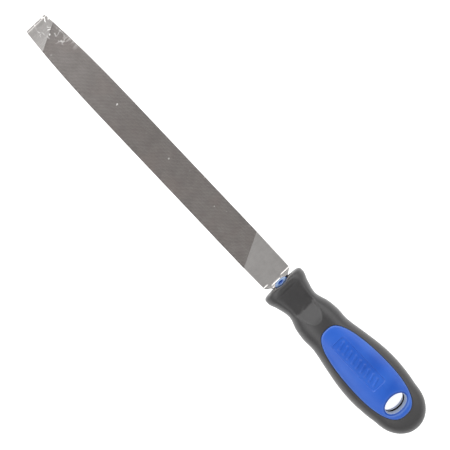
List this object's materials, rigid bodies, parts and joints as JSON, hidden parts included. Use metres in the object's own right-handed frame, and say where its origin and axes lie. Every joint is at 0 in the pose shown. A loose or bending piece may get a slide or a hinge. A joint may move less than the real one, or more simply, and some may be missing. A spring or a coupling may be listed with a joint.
{
  "type": "flat file",
  "caption": "Flat metalworking file: a tapered steel blade pressed by its tang into a waisted two-component handle with soft grip, hard panels and an oval hang hole.",
  "frame": {"origin": "centre of the tool's footprint, on the plane that the underside of the handle touches", "axes": "+X along the tool towards the point of the blade, +Y across its width, +Z normal to the blade's flat faces"},
  "size_m": [0.3184, 0.0356, 0.0253],
  "materials": {
    "file_steel": "bare hardened steel, cut faces dull, ends ground",
    "hard_plastic": "blue moulded plastic, semi-gloss",
    "soft_grip": "dark grey soft thermoplastic, fine matt grain"
  },
  "bodies": {
    "root": {"file_blade": "file_steel", "handle_core": "hard_plastic", "grip_overmould": "soft_grip"}
  },
  "joints": []
}
